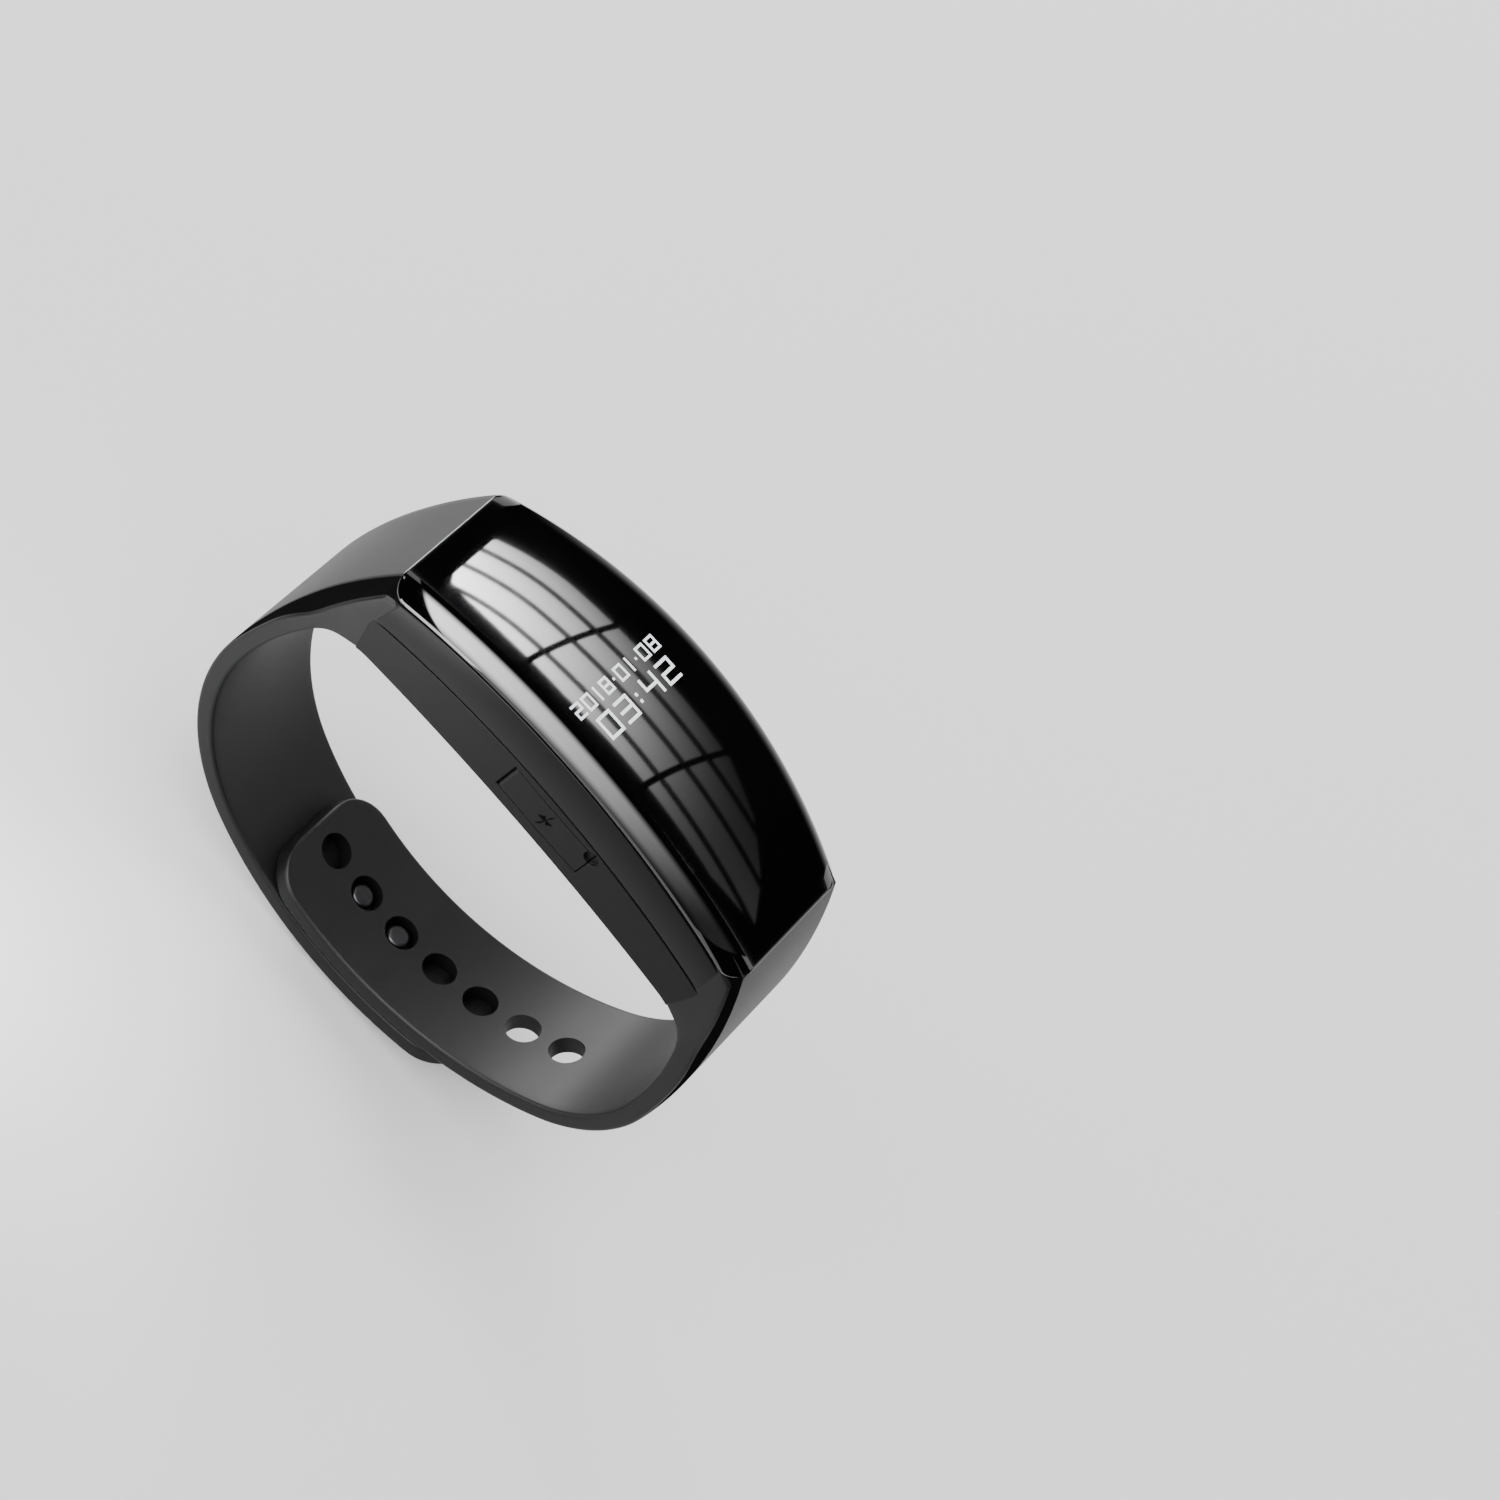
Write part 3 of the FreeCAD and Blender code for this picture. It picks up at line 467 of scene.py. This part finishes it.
date_places = (-7.0, -5.3, -3.75, -2.2, -0.95, 0.3, 1.85, 2.95, 4.2, 5.9)
write("2018.01.08", -4.75, date_places, [1.05] * 10, height=1.45, stroke=0.26)
write("03:42", -1.7, (-5.2, -2.3, -0.2, 2.1, 5.0), (1.9, 1.8, 1, 1.8, 1.8), height=2.3, stroke=0.34)
low, high = ([np.column_stack([bar, arch_z(glass_arch, bar[:, 0]) - depth]) for bar in bars]
             for depth in (0.05, 0.001))
bar_points, bar_faces = prisms(low, high)
lit, lit_shader, lit_start = new_finish("lit_characters", Emission_Strength=2.2, Roughness=0.3)
cells = lit_start.add("TexVoronoi", inputs={"Vector": lit_start.add("TexCoord", output="Object"), "Scale": 9000.0})
glow = lit_start.add("Mix", {"data_type": "RGBA"}, {0: cells, 6: (0.95, 0.97, 1.0, 1), 7: (0.75, 0.78, 0.82, 1)},
                     output=2)
lit.node_tree.links.new(glow.socket, lit_shader.inputs["Emission Color"])
lit_shader.inputs["Base Color"].default_value = (0.02, 0.02, 0.02, 1)
characters = mesh_piece("lit_characters", bar_points, bar_faces, lit, smooth=False)
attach(characters, "case")

# -------------------------------------------------------------- strap, left side
# Thermoplastic rubber moulded over the module's lug, thick at its root, where the
# outer edges are cut away in a long chamfer, and thinning to a plain flat band.
# The chamfer near the root is painted near black and without gloss: painted shade.
strap_thickness = 2.1
layer_play = 0.3
lap = strap_thickness + layer_play
clasp_thickness = 0.6
skin_floor = clasp_thickness + strap_thickness + lap
half_wrist, wrist_height = 30.2, 42.0
corner_radius, corner_heading = 8.6, math.radians(70)
side_radius = 35.0
lower_radius = 0.4 * wrist_height


def upper_arcs():
    """Tangent arcs (x, z, R, from, to) from the top to the side, headings from +Z."""
    out = half_wrist - corner_radius * math.sin(corner_heading) - side_radius * (1 - math.sin(corner_heading))
    first = math.asin(out / (skin_radius - corner_radius))
    arcs = [(0.0, skin_z - skin_radius, skin_radius, 0.0, first)]
    for radius, to in ((corner_radius, corner_heading), (side_radius, math.pi / 2)):
        x, z, before, _, start = arcs[-1]
        shift = before - radius
        arcs.append((x + shift * math.sin(start), z + shift * math.cos(start), radius, start, to))
    return arcs


side_z = upper_arcs()[-1][1]
side_rise = side_z - skin_floor
underside = (((half_wrist - lower_radius) ** 2 + side_rise ** 2 - lower_radius ** 2)
             / (2 * (side_rise - lower_radius)))
underside_z = skin_floor + underside


def loop_arcs(step_out):
    """The whole side of the loop: two more tangent arcs lead to the underside."""
    arcs = upper_arcs()
    radius = underside + step_out
    across, down = radius - half_wrist, underside_z - side_z
    shift = (down ** 2 + across ** 2) / (2 * across)
    lower = radius - shift
    join = math.atan2(shift - across, -down)
    return arcs + [(half_wrist - lower, side_z, lower, math.pi / 2, join),
                   (0.0, underside_z, radius, join, math.pi)]


def loop_places(arcs, heading, offset):
    """Places (x, z) on the loop: centre + (R + offset) (sin h, cos h) of the arc that holds h."""
    index = np.searchsorted([arc[4] for arc in arcs[:-1]], heading)
    x, z, radius = (np.array([arc[k] for arc in arcs])[index] for k in range(3))
    return np.stack([x + (radius + offset) * np.sin(heading), z + (radius + offset) * np.cos(heading)], 1)


root_half_width, tip_half_width = 9.5, 8.0
taper_top = skin_z - 2


def strap_half_width(z):
    """Half the strap's width: w - R + sqrt(R^2 - (top - z)^2), eased from root to tip width."""
    taper = root_half_width - tip_half_width
    radius = (taper_top ** 2 + taper ** 2) / (2 * taper)
    return root_half_width - radius + np.sqrt(radius ** 2 - np.clip(taper_top - z, 0, taper_top) ** 2)


root_drop = 0.22
root_z = glass_end_z - root_drop
root_x = half_length - root_drop * end_slope
outside_x = half_wrist + strap_thickness
crown_across, crown_down = outside_x - root_x, root_z - side_z
crown_radius = (crown_across ** 2 + crown_down ** 2) / (2 * crown_across)
crown_start = math.asin((root_x - outside_x + crown_radius) / crown_radius)


def root_heading(arcs):
    """Heading on the loop's corner arc at which it leaves the module's slanted end."""
    headings = np.linspace(arcs[0][3], corner_heading, 4000)
    x, z = loop_places(arcs, headings, 0).T
    return headings[np.argmax(x > half_length - (glass_end_z - z) * end_slope)]


def smooth_step(low, high, value):
    """0 below low, 1 above high, 3t^2 - 2t^3 between."""
    t = np.clip((value - low) / (high - low), 0, 1)
    return t * t * (3 - 2 * t)


soft_edge = 0.45
top_edge = 0.4
rim_round = 0.5
root_edge = 0.12
tip_plan_round = 5.0
chamfer_run = 25.0
flat_count, chamfer_count, round_count, wall_count = 11, 6, 7, 4


def strap_skin(name, arcs, side, tip, chamfer):
    """A strap as sections between its skin line and its outer line.

    Each section is a closed outline (y, level) in the plane of the two lines: flat
    outer face, cut corner, rounded rim, side wall, rounded skin edge, flat skin face.
    The corner's cut is chamfer = (depth, width) at the root, where it falls with the
    0.7th power of its run, and eases to a small rounding. Within r of the tip, at a
    distance d, a section shrinks by r - sqrt(r^2 - (r - d)^2). The cut corner's faces
    near the root take a second, near-black finish: painted shade.
    """
    upper = np.linspace(0, 1, 60) ** 1.4
    inner_heading = root_heading(arcs)
    lower = math.pi / 2 + (tip - math.pi / 2) * np.linspace(0, 1, 90)[1:]
    close = tip - np.cumsum(np.linspace(0.0001, 0.012, 18))[::-1]
    lower = np.sort(np.concatenate([lower[lower < close[0]], close, [tip]]))
    inner = np.concatenate([loop_places(arcs, inner_heading + (math.pi / 2 - inner_heading) * upper, 0),
                            loop_places(arcs, lower, 0)])
    crown = crown_start + (math.pi / 2 - crown_start) * upper
    outer = np.concatenate([np.stack([outside_x - crown_radius + crown_radius * np.sin(crown),
                                      side_z + crown_radius * np.cos(crown)], 1),
                            loop_places(arcs, lower, strap_thickness)])
    buried = np.array([4.4, 2.2, 0.12])[:, None]
    under_x = root_x - buried[:, 0]
    under_glass = np.stack([under_x, arch_z(glass_arch, under_x) - root_drop - 0.02], 1)
    inner = np.concatenate([inner[0] + buried * (-1, 0.5), inner])
    outer = np.concatenate([under_glass, outer])
    count = len(inner)

    middle = (inner + outer) / 2
    travelled = np.concatenate([[0], np.cumsum(np.linalg.norm(np.diff(middle, axis=0), axis=1))])
    travelled = travelled - travelled[len(buried)]
    to_tip = travelled[-1] - travelled
    near_tip = np.clip(tip_plan_round - to_tip, 0, tip_plan_round)
    half = strap_half_width(middle[:, 1])
    half = half - (tip_plan_round - np.sqrt(tip_plan_round ** 2 - near_tip ** 2))
    half = half + (side_at(24.5) - root_half_width) * smooth_step(0, 9, 9 - travelled)
    shrink = soft_edge - np.sqrt(soft_edge ** 2 - np.clip(soft_edge - to_tip, 0, soft_edge) ** 2)
    depth = np.linalg.norm(outer - inner, axis=1)
    root = (1 - smooth_step(0, chamfer_run, travelled))[:, None]

    low, deep, width = shrink[:, None], (depth - shrink)[:, None], (half - shrink)[:, None]
    cut_down, cut_in = chamfer[0] * root, top_edge + (chamfer[1] - top_edge) * root
    skin_edge = root_edge + (soft_edge - root_edge) * smooth_step(0, 7, travelled)[:, None]
    turn = np.linspace(0, math.pi / 2, round_count)
    flat = np.linspace(0, 1, flat_count + 1)[:-1]
    slope = np.linspace(0, 1, chamfer_count + 1)[:-1]
    wall = np.linspace(0, 1, wall_count + 2)[1:-1]
    rim = deep - cut_down - rim_round
    y = np.concatenate([(width - cut_in) * flat,
                        width - cut_in + (cut_in - top_edge) * slope,
                        width - top_edge * (1 - np.sin(turn)),
                        width * np.ones(wall_count),
                        width - skin_edge * (1 - np.sin(turn[::-1])),
                        (width - skin_edge) * flat[::-1]], 1)
    level = np.concatenate([deep * np.ones(flat_count),
                            deep - cut_down * slope ** 0.7,
                            deep - cut_down - rim_round * (1 - np.cos(turn)),
                            rim + (low + skin_edge - rim) * wall,
                            low + skin_edge * (1 - np.cos(turn[::-1])),
                            low * np.ones(flat_count)], 1)
    y = np.concatenate([y, -y[:, -2:0:-1]], 1)
    level = np.concatenate([level, level[:, -2:0:-1]], 1) / depth[:, None]
    x = inner[:, :1] + (outer - inner)[:, :1] * level
    z = inner[:, 1:] + (outer - inner)[:, 1:] * level
    points = np.stack([side * x, y, z], -1)
    columns = points.shape[1]
    faces = grid_faces(count, columns, False).tolist()
    faces += [list(range(columns)), list(range((count - 1) * columns, count * columns))]
    skin = mesh_piece(name, points, faces, strap_rubber)
    # Faces of the cut corners near the root take the second finish: painted shade, near black and without gloss.
    skin.data.materials.append(chamfer_painted_shade)
    row, column = np.divmod(np.arange(len(faces)), columns)
    column = np.minimum(column, columns - 1 - column)
    cut = (column >= flat_count) & (column < flat_count + chamfer_count)
    cut &= row < np.searchsorted(travelled, chamfer_run - 1)
    skin.data.polygons.foreach_set("material_index", cut.astype(np.int32))
    return skin


strap_rubber = moulded("strap_rubber", (0.002, 0.002, 0.0022), (0.0042, 0.0042, 0.0045), (0.42, 0.54),
                       0.00016, 0.000006, Specular_IOR_Level=0.2)
# Finish of the strap's cut corners: painted shade, a near-black matt rubber that stands in for shadow on the
# chamfer.
chamfer_painted_shade = moulded("chamfer_painted_shade", (0.0008, 0.0008, 0.0008), (0.0014, 0.0014, 0.0014), (0.7, 0.8),
                        0.00016, 0.000004, Specular_IOR_Level=0.02)
tip_x_left = 16.5
tip_left = math.pi + math.asin(tip_x_left / (underside + lap))
strap_left = strap_skin("strap_left_skin", loop_arcs(lap), -1, tip_left, chamfer=(2.0, 1.7))
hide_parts("strap_left", "strap_left_end")
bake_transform(strap_left)

# ------------------------------------------------------------- strap, right side
# The other half of the strap lies under the clasp, against the skin, and has a row
# of moulded holes for the two pegs.
tip_x_right = 12.0
tip_right = math.pi + math.asin(tip_x_right / underside)
strap_right = strap_skin("strap_right_skin", loop_arcs(0.0), 1, tip_right, chamfer=(1.2, 1.1))
peg_pitch = 6.0
hole_radius = 2.0
hole_sides = 40
cutter_reach = 8.0
hole_points, hole_faces = [], []
round_turn = np.linspace(0, 2 * math.pi, hole_sides, endpoint=False)
for place in (-1.5, -0.5, 0.5, 1.5, 2.5, 3.5, 4.5):
    angle = place * peg_pitch / (underside + strap_thickness)
    out = np.array([math.sin(angle), 0, -math.cos(angle)])
    along = np.array([math.cos(angle), 0, math.sin(angle)])
    circle = hole_radius * (np.cos(round_turn)[:, None] * along + np.sin(round_turn)[:, None] * (0, 1, 0))
    circle[:, 2] += underside_z
    both, faces = prisms([circle + out * (underside - cutter_reach)], [circle + out * (underside + cutter_reach)])
    hole_faces += [[index + len(hole_points) for index in face] for face in faces]
    hole_points += list(both)
hole_cutter = mesh_piece("hole_cutter", hole_points, hole_faces, strap_rubber, smooth=False)
cut = strap_right.modifiers.new("holes", "BOOLEAN")
cut.object = hole_cutter
cut.solver = "EXACT"
bpy.context.view_layer.update()
holed = bpy.data.meshes.new_from_object(strap_right.evaluated_get(bpy.context.evaluated_depsgraph_get()))
strap_right.modifiers.clear()
strap_right.data = holed
bpy.data.objects.remove(hole_cutter)
holed.set_sharp_from_angle(angle=math.radians(50))
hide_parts("strap_right", "strap_right_tail")
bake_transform(strap_right)

# -------------------------------------------------------------------- the clasp
# A black-plated zinc plate riveted outside the strap, with two domed pegs that
# press through the holes.
plated_zinc = moulded("plated_zinc", (0.03, 0.03, 0.032), (0.05, 0.05, 0.052), (0.28, 0.40),
                      0.00018, 0.000002, stretch=(1, 10, 1), edge=0.0002, Metallic=0.9)
dress(plated_zinc, "clasp", "clasp_plate", "clasp_pegs")

# -------------------------------------------------------------------- the camera
# It stands in front of the near flank, high over it, and is rolled so that the
# module runs down from the upper left to the lower right.
azimuth, elevation, roll = (math.radians(angle) for angle in (-6.401, 48.24, 54.078))
distance = 450.0
target = Vector((0, 0, 35.0))
view_back = Vector((math.sin(azimuth) * math.cos(elevation), -math.cos(azimuth) * math.cos(elevation),
                    math.sin(elevation)))
level_right = Vector((0, 0, 1)).cross(view_back).normalized()
level_up = view_back.cross(level_right)
view_right = level_right * math.cos(roll) + level_up * math.sin(roll)
view_up = level_up * math.cos(roll) - level_right * math.sin(roll)
aim_right, aim_down = -23.3036, 5.9226
eye = target + view_back * distance - view_right * aim_right + view_up * aim_down
camera_data = bpy.data.cameras.new("camera")
camera_data.sensor_width = 36.0
camera_data.lens = 105.2719
camera = bpy.data.objects.new("camera", camera_data)
turned = Matrix((view_right, view_up, view_back)).transposed().to_4x4()
camera.matrix_world = Matrix.Translation(eye * MILLIMETRE) @ turned
bpy.context.scene.collection.objects.link(camera)
bpy.context.scene.camera = camera

# ---------------------------------------------------------- floor and soft light
# A pale floor, an even pale surround, a large soft light on the left, a weaker one
# over the far side, and a small one close to the left end of the near flank.
floor_paint, floor_shader, _ = new_finish("floor_paint", Roughness=0.8)
floor_shader.inputs["Base Color"].default_value = (0.86, 0.86, 0.86, 1)
floor_reach, floor_level = 3000, -0.05
floor_corners = [(floor_reach * x, floor_reach * y, floor_level) for x, y in ((-1, -1), (1, -1), (1, 1), (-1, 1))]
floor = mesh_piece("floor", floor_corners, [[0, 1, 2, 3]], floor_paint)
world = bpy.data.worlds.new("surround")
bpy.context.scene.world = world
world.use_nodes = True
world.node_tree.nodes["Background"].inputs["Color"].default_value = (1.0, 1.0, 1.0, 1)
world.node_tree.nodes["Background"].inputs["Strength"].default_value = 1.5


def soft_light(name, place, size, power):
    """A square area light that faces the middle of the band."""
    data = bpy.data.lights.new(name, "AREA")
    data.size, data.energy = size, power
    lamp = bpy.data.objects.new(name, data)
    lamp.location = place
    lamp.rotation_euler = (Vector((0, 0, 0.035)) - lamp.location).to_track_quat("-Z", "Y").to_euler()
    bpy.context.scene.collection.objects.link(lamp)
    return lamp


soft_light("left_light", Vector((-0.66, 0.5, 0.16)), 0.32, 8.0)
soft_light("far_light", Vector((0.2, 0.7, 0.7)), 0.5, 2.0)
near_light = soft_light("near_light", Vector((-0.036, -0.052, 0.027)), 0.03, 0.032)
near_light.visible_camera = False


# ------------------------------------------------------------ window and strip
# Panels that only the gloss sees: a tall lit window with glazing bars for the glass,
# a long strip for each shoulder, and a black card for each near corner. Each lies
# where a ray from the camera goes after it meets the polished surface.
def light_panel(name, points, normals, glow, far):
    """A lit sheet at point + far * r, where r = 2 (n . v) n - v and v looks at the camera."""
    view = np.array(eye) - points
    view /= np.linalg.norm(view, axis=-1, keepdims=True)
    leaving = 2 * (normals * view).sum(-1, keepdims=True) * normals - view
    rows, columns = points.shape[:2]
    index = np.arange(rows * columns).reshape(rows, columns)
    faces = np.stack([index[:-1, :-1], index[1:, :-1], index[1:, 1:], index[:-1, 1:]], -1).reshape(-1, 4)
    made, _, start = new_finish(name + "_glow")
    tree = made.node_tree
    light = start.add("Attribute", {"attribute_name": "glow"})
    lamp = start.add("Emission", inputs={"Color": light, "Strength": 1.0})
    tree.links.new(lamp.socket, tree.nodes["Material Output"].inputs["Surface"])
    mesh = bpy.data.meshes.new(name)
    mesh.from_pydata(((points + far * leaving).reshape(-1, 3) * MILLIMETRE).tolist(), [], faces.tolist())
    colour = mesh.attributes.new("glow", "FLOAT_COLOR", "POINT")
    tone = np.repeat(glow.reshape(-1, 1), 4, 1).astype(np.float32)
    colour.data.foreach_set("color", tone.ravel())
    mesh.materials.append(made)
    panel = bpy.data.objects.new(name, mesh)
    bpy.context.scene.collection.objects.link(panel)
    panel.visible_camera = panel.visible_diffuse = panel.visible_shadow = panel.visible_transmission = False
    return panel


panel_distance = 80.0
panel_end = 25.8
x, y = np.meshgrid(np.linspace(-panel_end, panel_end, 520), np.linspace(-1, 1, 240), indexing="ij")
y = y * (side_at(x) - shoulder_width)
bowed = y + 1.2 * np.clip((-14 - x) / 8.8, 0, 1) ** 2
glass_normal = np.stack([x / glass_radius, 0 * x, np.sqrt(1 - (x / glass_radius) ** 2)], -1)
near_edge = np.interp(x, (-22.8, -22.3, -21, -15, -6.8, 16, 23.2), (-4.2, -5.2, -5.8, -6.5, -7.0, -6.5, -4.6))
far_edge = np.interp(x, (-22.9, -22.5, -15, 9, 15, 20, 23.2), (3.6, 4.0, 4.2, 4.2, 2.6, -0.8, -4.8))
window = smooth_step(0, 0.15, y - near_edge) * smooth_step(0, 0.15, far_edge - bowed) * (x > -22.8)
for upright in (-4.7, -1.2, 1.8):
    window *= smooth_step(0.27, 0.45, np.abs(bowed - upright))
for crossbar in (-10.0, 6.6):
    window *= smooth_step(0.28, 0.44, np.abs(x - crossbar - 0.33 * y - 0.012 * y * y))
fade = 0.008 + 0.992 * np.clip((20 - x) / 43, 0, 1) ** 3.2
fade *= 1 - 0.072 * (y + 7.5)
window_panel = light_panel("window_panel", np.stack([x, y, arch_z(glass_arch, x)], -1), glass_normal,
                           60.0 * window * np.clip(fade, 0, 1), panel_distance)


def shoulder_panel(name, sign, leans, glow):
    """A panel over one shoulder, which is a quarter of an ellipse of half axes a and b.

    At t degrees its normal is (x/R cos t / b, sign sin t / a, cos t / b), made unit.
    """
    x, lean = np.meshgrid(np.linspace(-panel_end, panel_end, 200), np.radians(leans), indexing="ij")
    up = np.cos(lean)
    points = np.stack([x, sign * (side_at(x) - shoulder_width * (1 - np.sin(lean))),
                       arch_z(glass_arch, x) - shoulder_drop * (1 - up)], -1)
    normals = np.stack([x / glass_radius * up / shoulder_drop, sign * np.sin(lean) / shoulder_width,
                        up / shoulder_drop], -1)
    normals /= np.linalg.norm(normals, axis=-1, keepdims=True)
    return light_panel(name, points, normals, glow(x, np.degrees(lean)), panel_distance)


near_strip = shoulder_panel("near_strip", -1, np.linspace(0, 80, 80), lambda x, lean: (
    26.0 * smooth_step(14, 32, lean) * (1 - 0.8 * smooth_step(54, 80, lean)) * smooth_step(-25.8, -25.0, x)
    * (0.012 + 0.988 * np.clip((23 - x) / 46, 0, 1) ** 1.8)))
far_strip = shoulder_panel("far_strip", 1, np.linspace(0, 44, 50), lambda x, lean: (
    1.1 * smooth_step(8, 40, lean) * smooth_step(-25, -10, x)))
turned, lean = np.radians(np.meshgrid(np.linspace(12, 76, 24), np.linspace(6, 88, 24), indexing="ij"))
for end in (-1, 1):
    normals = np.stack([end * np.sin(turned) * np.sin(lean), -np.cos(turned) * np.sin(lean), np.cos(lean)], -1)
    points = np.array([end * 24.8, -8.6, glass_end_z]) + 0 * normals
    light_panel("corner_shade", points, normals, 0 * lean, 1.25 * panel_distance)
